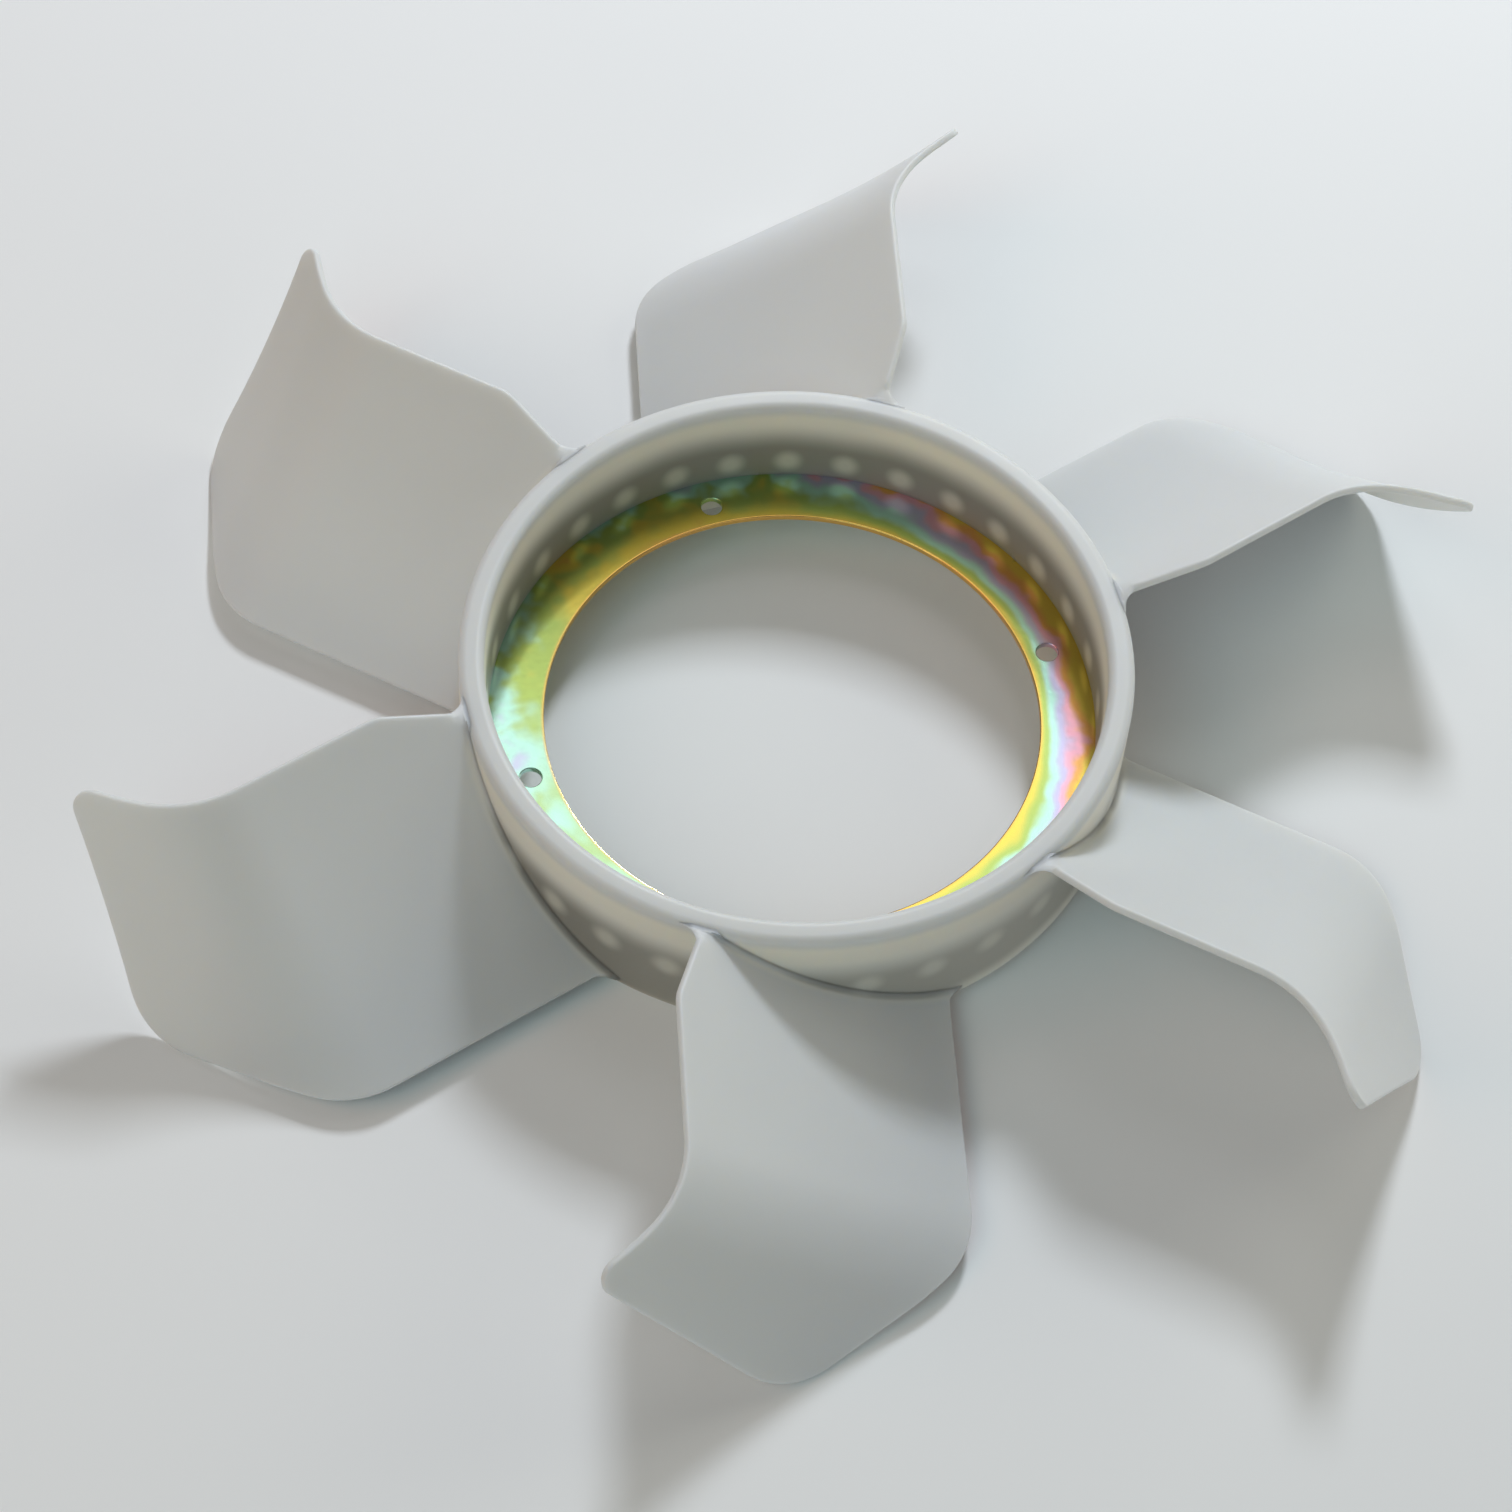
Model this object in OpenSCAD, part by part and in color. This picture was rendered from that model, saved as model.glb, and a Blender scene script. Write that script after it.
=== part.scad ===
// Six-bladed engine cooling fan: one nylon moulding around a stamped steel ring.
// The axis is Z and the origin is the centre of the steel flange's upper face,
// against which the fan clutch is bolted. Millimetres throughout.

/* [Hub] */
// Outside diameter of the hub ring
hub_d = 200; // [190:0.5:230]
// Thickness of the hub ring's wall
hub_wall = 8.3; // [7.5:0.05:10]
// Height of the rim over the flange's face
hub_rise = 32.5; // [28:0.5:45]
// Depth of the hub ring's foot below the flange's face
hub_drop = 15; // [11:0.1:20]
// Draft of the bore between the flange and the rim, in degrees
bore_draft = 1; // [0:0.1:2]
// Rounding of the rim, inside and outside
rim_r = 2.5; // [1:0.1:2.9]
// Rounding of the foot's edges
foot_r = 1; // [0.5:0.1:2]

/* [Steel ring] */
// Thickness of the steel sheet
sheet_t = 2; // [1.5:0.1:2.5]
// Diameter of the flange's opening
opening_d = 150; // [140:0.5:154]
// Distance from the opening's edge to the centre of a bolt hole
bolt_edge = 7; // [6:0.1:8]
// Diameter of a bolt hole
bolt_hole_d = 6.6; // [5:0.1:7]
// Number of bolt holes
bolt_count = 4; // [3:1:8]
// Nylon left outside the steel skirt
skirt_cover = 3; // [2.5:0.1:3.5]
// Height of the skirt over the flange's face
skirt_rise = 17; // [14:0.5:24]
// Inside radius of the bend between flange and skirt
bend_in_r = 1.2; // [0.5:0.1:2]
// Number of perforations in the skirt
perforation_count = 32; // [16:1:36]
// Diameter of a perforation
perforation_d = 8; // [5:0.5:9]
// Height of the perforations' centres over the flange's face
perforation_z = 6.5; // [6:0.1:8]

/* [Blades] */
// Number of blades
blade_count = 6; // [3:1:7]
// Turn of the first blade from the first bolt hole, in degrees
blade_turn = 16; // [0:0.5:60]
// Pitch of a blade's chord against the fan's plane, in degrees
pitch = 31.8; // [28:0.1:34]
// Height of a blade's middle line over the flange's face
middle_z = 8.5; // [7.5:0.1:9.5]
// Thickness of a blade
blade_t = 2.4; // [1.8:0.1:3.2]
// Rounding of a blade's edges
edge_round = 0.7; // [0.3:0.1:0.9]
// Radius of the hollow across a blade, seen from above
camber_r = 350; // [250:5:800]
// Distance from the hub ring at which the blade starts to bend down
bend_out = 62.6; // [50:0.2:80]
// Radius of that bend
bend_r = 42.4; // [30:0.2:60]
// Angle of that bend, in degrees
bend_angle = 41.8; // [20:0.2:50]
// Radius of the fillet between a blade's edges and the hub ring
root_r = 4.3; // [2:0.1:6]
// Radius of the fillet between a blade's faces and the hub ring
face_r = 1.4; // [0.6:0.1:2]

/* [Blade outline, on the flat sheet] */
// Width from the middle line to the lower edge
lower_w = 44.8; // [40:0.1:45]
// Width from the middle line to the upper edge at the hub ring
root_w = 43; // [36:0.1:44]
// Width from the middle line to the upper edge beyond its shoulder
upper_w = 52; // [46:0.1:58]
// Distance from the hub ring to the shoulder of the upper edge
shoulder_out = 19; // [16:0.5:28]
// Rounding of the shoulder
shoulder_r = 10.5; // [4:0.5:14]
// Distance from the hub ring to the waist, where the upper edge sweeps up
waist_out = 78.8; // [70:0.2:86]
// Rounding of the waist
waist_r = 37; // [20:1:50]
// Distance from the hub ring to the point of the blade
point_out = 104.4; // [98:0.2:112]
// Width from the middle line to the point of the blade
point_w = 76; // [66:0.5:82]
// Rounding of the point
point_r = 5.6; // [3:0.2:8]
// Distance from the hub ring to the outer end of the tip edge
tip_out = 125; // [116:0.5:132]
// Width from the middle line to the outer end, below it when negative
tip_w = -1.2; // [-8:0.1:8]
// Rounding of the outer end
tip_r = 24; // [10:0.5:28]
// Distance from the hub ring to the lower edge's corner
heel_out = 75; // [66:0.5:84]
// Rounding of that corner
heel_r = 31.5; // [10:0.5:32]

/* [Hidden] */
$fn = 96;

hub_r = hub_d / 2;
bore_r = hub_r - hub_wall;
bore_top_r = bore_r + hub_rise * tan(bore_draft);
skirt_r = hub_r - skirt_cover;
opening_r = opening_d / 2;
bolt_r = opening_r + bolt_edge;
edge_r = blade_t / 2;

// How fine the blade's mesh is
outer_rows = 20;
fillet_rows = 5;
columns = 8;
corner_steps = 2;
arc_steps = 8;

// The root of a blade is sunk this deep into the hub ring's wall
root_sink = 1.5;
// The fillet's first row lies this far inside the wall's round face
first_sink = 0.1;
// The blade's fillets stay this far inside the hub ring's two ends
end_gap = 0.4;
// Fall of the fillets' flat top towards a blade's lower face
top_lean = 0.1;

// Small helpers for points in a plane

function unit(v) = v / norm(v);
function left_of(v) = [-v[1], v[0]];
function mix(a, b, f) = a + (b - a) * f;
function clamp(x, low, high) = min(max(x, low), high);
function turned(v, a) = [v[0] * cos(a) - v[1] * sin(a), v[0] * sin(a) + v[1] * cos(a)];

// The corner at b between a and c, rounded to radius r
function rounded(a, b, c, r) =
    let (
        u = unit(a - b),
        w = unit(c - b),
        half = acos(u * w) / 2,
        centre = b + unit(u + w) * r / sin(half),
        start = b + u * r / tan(half) - centre,
        side = sign(u[0] * w[1] - u[1] * w[0]),
        sweep = -side * (180 - 2 * half)
    )
    [for (k = [0 : arc_steps]) centre + turned(start, sweep * k / arc_steps)];

// Length along a line of points up to each of them
function lengths(line, i = 0, sum = 0) =
    i == len(line) - 1
    ? [sum]
    : concat([sum], lengths(line, i + 1, sum + norm(line[i + 1] - line[i])));

// The point at distance d along a line of points
function along(line, reach, d, i = 0) =
    i >= len(line) - 2 || reach[i + 1] >= d
    ? mix(line[i], line[i + 1], (d - reach[i]) / (reach[i + 1] - reach[i]))
    : along(line, reach, d, i + 1);

// The sheet of a blade: s runs outwards from the axis, t across the chord from
// the lower to the upper edge, both measured on the flat sheet, and h is the
// height over the middle of the sheet. The sheet is hollow across, with radius
// camber_r, and from bend_s it is bent down by bend_angle.

bend_s = hub_r + bend_out;
bend_length = bend_r * bend_angle * PI / 180;

function sheet_point(s, t, h) =
    let (
        past = s - bend_s,
        a = clamp(past / bend_length, 0, 1) * bend_angle,
        straight = max(past - bend_length, 0),
        x = min(s, bend_s) + bend_r * sin(a) + straight * cos(a),
        fall = bend_r * (1 - cos(a)) + straight * sin(a),
        c = t / camber_r * 180 / PI,
        rise = camber_r * (1 - cos(c)) + h * cos(c),
        across = (camber_r - h) * sin(c),
        up = rise * cos(a) - fall
    )
    [
        x + rise * sin(a),
        up * sin(pitch) - across * cos(pitch),
        up * cos(pitch) + across * sin(pitch) + middle_z
    ];

// Distance from the axis along the sheet at which the layer at height h over
// its middle meets radius r
function ring_s(r, t, h = 0) =
    let (
        c = t / camber_r * 180 / PI,
        rise = camber_r * (1 - cos(c)) + h * cos(c),
        across = (camber_r - h) * sin(c),
        y = rise * sin(pitch) - across * cos(pitch)
    )
    sqrt(r * r - y * y);

// The outline on the flat sheet, as two lines that both end on the tip edge

fillet_end_r = hub_r + root_r;
root_low = [ring_s(fillet_end_r, -lower_w), -lower_w];
root_high = [ring_s(fillet_end_r, root_w), root_w];
heel = [hub_r + heel_out, -lower_w];
tip = [hub_r + tip_out, tip_w];
point = [hub_r + point_out, point_w];
waist = [hub_r + waist_out, upper_w];
shoulder = [hub_r + shoulder_out, upper_w];

lower_line = concat(
    [root_low],
    rounded(root_low, heel, tip, heel_r),
    rounded(heel, tip, point, tip_r)
);
upper_line = concat(
    [root_high],
    rounded(root_high, shoulder, waist, shoulder_r),
    rounded(shoulder, waist, point, waist_r),
    rounded(waist, point, tip, point_r)
);

// Rows lie closer together towards the tip, where the outline turns
function row_share(i) = 1 - pow(1 - i / outer_rows, 1.5);

function spread(line) =
    let (reach = lengths(line))
    [for (i = [0 : outer_rows]) along(line, reach, reach[len(line) - 1] * row_share(i))];

lower_edge = spread(lower_line);
upper_edge = spread(upper_line);

// Directions out of the sheet at each row's two ends
function way_at(edge, i) = unit(edge[min(i + 1, outer_rows)] - edge[max(i - 1, 0)]);
tip_way = unit(upper_edge[outer_rows] - lower_edge[outer_rows]);
tip_out_way = -left_of(tip_way);
function low_out(i) = i == outer_rows ? tip_out_way : -left_of(way_at(lower_edge, i));
function high_out(i) = i == outer_rows ? tip_out_way : left_of(way_at(upper_edge, i));

// Each row of the blade's mesh is [lower end, upper end, way out below, way out
// above, half thickness, share of the hub's roundness, whether it is part of
// the fillet]

function low_end(row) = row[0];
function high_end(row) = row[1];
function low_way(row) = row[2];
function high_way(row) = row[3];
function half_thickness(row) = row[4];
function roundness(row) = row[5];
function in_fillet(row) = row[6];

// Height of a fillet of radius r at distance out from the hub ring
function fillet(r, out) =
    let (left = clamp(r - out, 0, r))
    r - sqrt(r * r - left * left);

function fillet_row(out) =
    [
        [hub_r + out, -lower_w - fillet(root_r, out)],
        [hub_r + out, root_w + fillet(root_r, out)],
        [0, -1],
        [0, 1],
        edge_r + fillet(face_r, out),
        1,
        true
    ];
function outer_row(i) =
    [
        lower_edge[i],
        upper_edge[i],
        low_out(i),
        high_out(i),
        edge_r,
        pow(1 - row_share(i), 3),
        false
    ];

rows = concat(
    [fillet_row(-root_sink), fillet_row(-first_sink)],
    [
        for (k = [1 : fillet_rows - 1])
        fillet_row(root_r * (1 - cos(90 * k / fillet_rows)))
    ],
    [for (i = [0 : outer_rows]) outer_row(i)]
);
last_row = len(rows) - 1;

// The fillet's flat top rises from the rim to the blade's upper edge
rim_top = hub_rise - end_gap;
edge_top = max(rim_top, sheet_point(root_high[0], root_high[1], 0)[2]);
function ceiling(row, h) =
    let (f = clamp((low_end(row)[0] - hub_r) / root_r, 0, 1))
    mix(rim_top, edge_top, f) - top_lean * (half_thickness(row) - h);

// A point of a row at share f of its width, moved out by reach along way
function row_point(row, f, way, reach, h) =
    let (
        inner_low = low_end(row) - low_way(row) * edge_r,
        inner_high = high_end(row) - high_way(row) * edge_r,
        flat = mix(inner_low, inner_high, f) + way * reach,
        low_s = ring_s(fillet_end_r, low_end(row)[1]),
        high_s = ring_s(fillet_end_r, high_end(row)[1]),
        bulge = roundness(row) * (ring_s(fillet_end_r, flat[1], h) - mix(low_s, high_s, f)),
        s = in_fillet(row) ? ring_s(low_end(row)[0], flat[1], h) : flat[0] + bulge,
        p = sheet_point(s, flat[1], h)
    )
    in_fillet(row)
    ? [p[0], p[1], clamp(p[2], end_gap - hub_drop, ceiling(row, h))]
    : p;

// The square edge has two rounded corners. Its section is a list of [reach out
// of the face's end, share of the corner's height, +1 above or -1 below]
nose = [
    for (side = [1, -1])
    for (k = [0 : corner_steps])
    let (a = 90 * (side > 0 ? k : corner_steps - k) / corner_steps)
    [edge_r - edge_round * (1 - sin(a)), cos(a), side]
];
nose_steps = len(nose) + 1;

// The edge runs out along the lower edge, up the tip and back, with a stop at
// [row, share of its width, way out] for each of its sections
edge_stops = concat(
    [for (i = [0 : last_row]) [i, 0, low_way(rows[i])]],
    [for (j = [1 : columns - 1]) [last_row, j / columns, tip_out_way]],
    [for (i = [last_row : -1 : 0]) [i, 1, high_way(rows[i])]]
);
last_stop = len(edge_stops) - 1;

blade_points = concat(
    [
        for (side = [1, -1])
        for (row = rows)
        for (j = [0 : columns])
        row_point(row, j / columns, [0, 0], 0, side * half_thickness(row))
    ],
    [
        for (stop = edge_stops)
        for (k = [1 : nose_steps - 1])
        let (
            row = rows[stop[0]],
            corner = nose[k - 1],
            h = corner[2] * (half_thickness(row) - edge_round * (1 - corner[1]))
        )
        row_point(row, stop[1], stop[2], corner[0], h)
    ]
);

function face_index(side, i, j) = (side * (last_row + 1) + i) * (columns + 1) + j;
first_nose = face_index(2, 0, 0);
function nose_index(n, k) =
    k == 0 || k == nose_steps
    ? face_index(k == 0 ? 0 : 1, edge_stops[n][0], edge_stops[n][1] * columns)
    : first_nose + n * (nose_steps - 1) + k - 1;

// Two triangles for the four corners of a patch
function patch(a, b, c, d) = [[a, c, b], [a, d, c]];

blade_faces = [
    for (i = [0 : last_row - 1])
    for (j = [0 : columns - 1])
    each patch(
        face_index(0, i, j), face_index(0, i, j + 1),
        face_index(0, i + 1, j + 1), face_index(0, i + 1, j)
    ),
    for (i = [0 : last_row - 1])
    for (j = [0 : columns - 1])
    each patch(
        face_index(1, i, j), face_index(1, i + 1, j),
        face_index(1, i + 1, j + 1), face_index(1, i, j + 1)
    ),
    for (n = [0 : last_stop - 1])
    for (k = [0 : nose_steps - 1])
    each patch(
        nose_index(n, k), nose_index(n + 1, k),
        nose_index(n + 1, k + 1), nose_index(n, k + 1)
    ),
    for (j = [0 : columns - 1])
    each patch(
        face_index(0, 0, j), face_index(1, 0, j),
        face_index(1, 0, j + 1), face_index(0, 0, j + 1)
    ),
    for (k = [0 : nose_steps - 2])
    [nose_index(0, nose_steps), nose_index(0, k + 1), nose_index(0, k)],
    for (k = [0 : nose_steps - 2])
    [
        nose_index(last_stop, nose_steps),
        nose_index(last_stop, k),
        nose_index(last_stop, k + 1)
    ]
];

module blade() {
    polyhedron(points = blade_points, faces = blade_faces, convexity = 4);
}

// The hub ring's section: a wall with rounded edges at the rim and the foot
module hub_section() {
    difference() {
        polygon([
            [bore_r, -hub_drop], [hub_r, -hub_drop], [hub_r, hub_rise],
            [bore_top_r, hub_rise], [bore_r, 0]
        ]);
        edge_cut(bore_top_r, hub_rise, rim_r, 1, -1);
        edge_cut(hub_r, hub_rise, rim_r, -1, -1);
        edge_cut(bore_r, -hub_drop, foot_r, 1, 1);
        edge_cut(hub_r, -hub_drop, foot_r, -1, 1);
    }
}

// What rounding takes off a corner at [x, y], towards ways dx and dy
module edge_cut(x, y, r, dx, dy) {
    difference() {
        translate([x, y])
            square(2 * r, center = true);
        translate([x + dx * r, y + dy * r])
            circle(r);
        translate([x + dx * 1.5 * r, y])
            square([r, 3 * r], center = true);
        translate([x, y + dy * 1.5 * r])
            square([3 * r, r], center = true);
    }
}

// The steel ring's section: flange, bend and skirt
module ring_section() {
    bend_out_r = bend_in_r + sheet_t;
    flange_end = skirt_r - bend_out_r;
    translate([opening_r, -sheet_t])
        square([flange_end - opening_r, sheet_t]);
    translate([skirt_r - sheet_t, bend_in_r])
        square([sheet_t, skirt_rise - bend_in_r]);
    translate([flange_end, bend_in_r])
        difference() {
            intersection() {
                circle(bend_out_r);
                translate([0, -bend_out_r])
                    square(bend_out_r);
            }
            circle(bend_in_r);
        }
}

module steel_ring_solid() {
    difference() {
        rotate_extrude()
            ring_section();
        for (n = [0 : bolt_count - 1])
            rotate(360 / bolt_count * n)
                translate([bolt_r, 0, -sheet_t - 1])
                    cylinder(d = bolt_hole_d, h = sheet_t + 2);
        for (n = [0 : perforation_count - 1])
            rotate(360 / perforation_count * (n + 0.5))
                translate([skirt_r - sheet_t - 1, 0, perforation_z])
                    rotate([0, 90, 0])
                        cylinder(d = perforation_d, h = sheet_t + 2);
    }
}

module steel_ring() {
    color([0.72, 0.66, 0.32])
        steel_ring_solid();
}

module fan_moulding() {
    color([0.78, 0.79, 0.78])
        difference() {
            union() {
                rotate_extrude()
                    hub_section();
                for (n = [0 : blade_count - 1])
                    rotate(blade_turn + 360 / blade_count * n)
                        blade();
            }
            steel_ring_solid();
        }
}

fan_moulding();
steel_ring();
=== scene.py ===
"""Axial cooling fan: a nylon moulding with bent blades around a plated steel ring.

The visual model is built around the packed frame, in metres, with the fan's axis along Z and
the steel flange's upper face at z = 0.
"""

import math
from functools import partial
from typing import NamedTuple

import bpy
from bpy.props import FloatProperty, FloatVectorProperty, IntProperty, PointerProperty
from mathutils import Matrix, Vector


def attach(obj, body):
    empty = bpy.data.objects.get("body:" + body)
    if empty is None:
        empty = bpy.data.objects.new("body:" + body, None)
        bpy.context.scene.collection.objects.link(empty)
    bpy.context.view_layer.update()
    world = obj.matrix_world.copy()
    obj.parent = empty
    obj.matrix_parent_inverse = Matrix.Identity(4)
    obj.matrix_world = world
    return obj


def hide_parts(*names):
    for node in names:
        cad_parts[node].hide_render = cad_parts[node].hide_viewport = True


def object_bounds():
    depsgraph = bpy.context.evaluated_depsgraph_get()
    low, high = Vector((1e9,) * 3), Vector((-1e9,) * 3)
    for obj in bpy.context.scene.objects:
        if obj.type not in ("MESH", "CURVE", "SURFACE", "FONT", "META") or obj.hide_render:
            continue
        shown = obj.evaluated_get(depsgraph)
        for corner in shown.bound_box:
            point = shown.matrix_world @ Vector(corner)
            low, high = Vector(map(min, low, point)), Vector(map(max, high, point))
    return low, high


bl_info = {
    "name": "Axial cooling fan",
    "version": (1, 0, 0),
    "blender": (4, 5, 0),
    "location": "3D View > Sidebar > Fan",
    "description": "Builds a moulded cooling fan on a plated steel ring",
    "category": "Object",
}

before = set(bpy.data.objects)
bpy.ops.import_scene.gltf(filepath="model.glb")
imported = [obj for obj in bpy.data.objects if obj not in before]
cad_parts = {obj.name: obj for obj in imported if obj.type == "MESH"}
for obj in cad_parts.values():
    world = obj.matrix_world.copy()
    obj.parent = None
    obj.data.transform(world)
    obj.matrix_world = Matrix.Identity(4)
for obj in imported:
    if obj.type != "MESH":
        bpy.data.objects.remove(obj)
CAD_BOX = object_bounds()

MM = 0.001
BODY = "root"
MOULDING = "fan_moulding_finished"
STEEL = "steel_ring_finished"
NORMALS = "face_ways"
CEILING = "ceiling"
FLOOR = "floor"


# Sizes and colours


def distance(name, description, default):
    """A length, given here in millimetres."""
    return FloatProperty(
        name=name, description=description, default=default * MM,
        unit="LENGTH", subtype="DISTANCE", precision=5,
    )


def angle(name, description, default):
    """An angle, given here in degrees."""
    return FloatProperty(
        name=name, description=description, default=math.radians(default),
        unit="ROTATION", subtype="ANGLE",
    )


def colour(name, description, default):
    """A colour of a finish."""
    return FloatVectorProperty(
        name=name, description=description, default=default,
        subtype="COLOR", size=3, min=0, max=1,
    )


def share(name, description, default):
    """A plain factor from 0 to 1."""
    return FloatProperty(
        name=name, description=description, default=default,
        min=0, max=1, subtype="FACTOR",
    )


class HubSizes(bpy.types.PropertyGroup):
    """The nylon ring that carries the blades."""

    radius: distance("Outside radius", "Outside radius of the hub ring", 100)
    wall: distance("Wall", "Thickness of the hub ring's wall at the flange", 8.3)
    rise: distance("Rise", "Height of the rim over the flange's face", 32.5)
    drop: distance("Drop", "Depth of the foot below the flange's face", 15)
    draft: angle("Draft", "Draft of the bore above the flange", 1)
    rim_round: distance("Rim rounding", "Rounding of the rim's two edges", 2.5)
    foot_round: distance("Foot rounding", "Rounding of the foot's two edges", 1)


class SteelSizes(bpy.types.PropertyGroup):
    """The pressed steel ring inside the hub."""

    sheet: distance("Sheet", "Thickness of the steel sheet", 2)
    opening_radius: distance("Opening radius", "Radius of the flange's opening", 75)
    bolt_circle: distance("Bolt circle radius", "Radius of the bolt holes' circle", 82)
    bolt_radius: distance("Bolt hole radius", "Radius of a bolt hole", 3.3)
    bolts: IntProperty(name="Bolt holes", description="Number of bolt holes", default=4)
    cover: distance("Cover", "Nylon left outside the skirt", 3)
    skirt_rise: distance("Skirt rise", "Height of the skirt over the flange's face", 17)
    bend: distance("Bend", "Inside radius of the bend under the skirt", 1.2)
    sheared: distance("Sheared edge", "Rounding of the pressed edges", 0.3)
    windows: IntProperty(name="Perforations", description="Holes in the skirt", default=32)
    window_radius: distance("Perforation radius", "Radius of a hole in the skirt", 4)
    window_height: distance("Perforation height", "Height of the holes' centres", 6.5)


class BladeSizes(bpy.types.PropertyGroup):
    """One blade: a flat blank with its outline, and how it is bent and set."""

    count: IntProperty(name="Blades", description="Number of blades", default=6)
    turn: angle("Turn", "Turn of the first blade from the first bolt hole", 16)
    pitch: angle("Pitch", "Pitch of the chord against the fan's plane", 31.8)
    middle: distance("Middle", "Height of the blade's middle line", 8.5)
    thickness: distance("Thickness", "Thickness of a blade", 2.4)
    edge_round: distance("Edge rounding", "Rounding of a blade's edges", 0.7)
    camber: distance("Camber radius", "Radius of the hollow across a blade", 350)
    bend_out: distance("Bend start", "Distance from the hub where the bend starts", 62.6)
    bend_radius: distance("Bend radius", "Radius of the bend", 42.4)
    bend_angle: angle("Bend angle", "Angle of the bend", 41.8)
    root_round: distance("End fillet", "Fillet between a blade's edges and the hub", 4.3)
    face_round: distance("Face fillet", "Fillet between a blade's faces and the hub", 1.4)
    lower: distance("Lower edge", "From the middle line to the lower edge", 44.8)
    root: distance("Root width", "From the middle line to the root's upper end", 43)
    upper: distance("Upper edge", "From the middle line to the upper edge", 52)
    shoulder_out: distance("Shoulder", "Distance from the hub to the shoulder", 19)
    shoulder_round: distance("Shoulder rounding", "Rounding of the shoulder", 10.5)
    waist_out: distance("Waist", "Distance from the hub to the waist", 78.8)
    waist_round: distance("Waist rounding", "Rounding of the waist", 37)
    point_out: distance("Point", "Distance from the hub to the blade's point", 104.4)
    point_up: distance("Point's width", "From the middle line to the point", 76)
    point_round: distance("Point rounding", "Rounding of the point", 5.6)
    tip_out: distance("Outer end", "Distance from the hub to the outer end", 125)
    tip_up: distance("Outer end's width", "From the middle line to the outer end", -1.2)
    tip_round: distance("Outer end rounding", "Rounding of the outer end", 24)
    heel_out: distance("Heel", "Distance from the hub to the heel", 75)
    heel_round: distance("Heel rounding", "Rounding of the heel", 31.5)


class NylonLook(bpy.types.PropertyGroup):
    """Natural nylon, with the steel skirt showing through, and painted glow and shade on the
    hub's walls.
    """

    body: colour("Nylon", "Colour of the solid nylon", (0.66, 0.67, 0.665))
    # Warmer and lighter than the body: partly the thick nylon's own tone, partly painted glow
    # standing in for light passing through the walls
    warm_and_glow: colour("Thick nylon", "Colour of the hub ring's walls", (0.83, 0.80, 0.71))
    # Also painted as shade below the flange, where there is no steel
    steel_and_painted_shade: colour("Buried steel", "Colour of steel under the nylon", (0.29, 0.275, 0.235))
    window: colour("Perforation", "Colour of nylon in a perforation", (0.58, 0.56, 0.48))
    roughness: share("Roughness", "Roughness of the moulded face", 0.5)


class SteelLook(bpy.types.PropertyGroup):
    """Yellow passivated zinc."""

    orange: colour("Orange", "Thinnest film", (0.93, 0.50, 0.16))
    yellow: colour("Yellow", "Second colour of the film", (0.88, 0.70, 0.13))
    olive: colour("Olive", "Third colour of the film", (0.46, 0.60, 0.17))
    mint: colour("Mint", "Fourth colour of the film", (0.52, 0.86, 0.72))
    lilac: colour("Lilac", "Fifth colour of the film", (0.60, 0.57, 0.78))
    pink: colour("Pink", "Sixth colour of the film", (0.90, 0.48, 0.58))
    roughness: share("Roughness", "Roughness of the plated sheet", 0.15)


class StageLook(bpy.types.PropertyGroup):
    """The floor and the studio light."""

    floor: colour("Floor", "Colour of the floor", (0.9, 0.9, 0.9))
    key: FloatProperty(name="Lamps", description="Strength of the lamps", default=1)
    sky: FloatProperty(name="Sky", description="Strength of the studio's sky", default=0.11)


# Maths in node trees


class Value:
    """A socket of a node tree, so that node maths can be written as expressions."""

    def __init__(self, tree, socket):
        self.tree = tree
        self.socket = socket

    def _with(self, operation, *operands):
        node = self.tree.nodes.new("ShaderNodeMath")
        node.operation = operation
        for place, operand in enumerate(operands):
            feed(self.tree, node.inputs[place], operand)
        return Value(self.tree, node.outputs[0])

    def __add__(self, other):
        return self._with("ADD", self, other)

    __radd__ = __add__

    def __mul__(self, other):
        return self._with("MULTIPLY", self, other)

    __rmul__ = __mul__

    def __sub__(self, other):
        return self._with("SUBTRACT", self, other)

    def __rsub__(self, other):
        return self._with("SUBTRACT", other, self)

    def __truediv__(self, other):
        return self._with("DIVIDE", self, other)

    def __rtruediv__(self, other):
        return self._with("DIVIDE", other, self)

    def __pow__(self, other):
        return self._with("POWER", self, other)

    def sin(self):
        return self._with("SINE", self)

    def cos(self):
        return self._with("COSINE", self)

    def sqrt(self):
        return self._with("SQRT", self)

    def fract(self):
        return self._with("FRACT", self)

    def least(self, other):
        return self._with("MINIMUM", self, other)

    def most(self, other):
        return self._with("MAXIMUM", self, other)

    def over(self, other):
        """1 where this is greater than the other, else 0."""
        return self._with("GREATER_THAN", self, other)

    def angle_to(self, x):
        """The angle of the point (x, self)."""
        return self._with("ARCTAN2", self, x)


def feed(tree, socket, given):
    """Links a Value to a socket, or sets a plain value."""
    if isinstance(given, Value):
        tree.links.new(given.socket, socket)
    else:
        socket.default_value = given


def add_node(tree, kind, settings=None, inputs=None):
    """Adds a node, sets its settings, and then feeds its sockets by name or place."""
    node = tree.nodes.new(kind)
    for key, setting in (settings or {}).items():
        if key == "stops":
            set_stops(node.color_ramp, setting)
        else:
            setattr(node, key, setting)
    for key, given in (inputs or {}).items():
        feed(tree, node.inputs[key], given)
    return node


def set_stops(ramp, stops):
    """Gives a colour ramp its stops, as (place, colour) pairs."""
    while len(ramp.elements) > 1:
        ramp.elements.remove(ramp.elements[-1])
    for number, (place, shade) in enumerate(stops):
        element = ramp.elements[0] if number == 0 else ramp.elements.new(place)
        element.position = place
        element.color = (*shade, 1)


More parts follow.
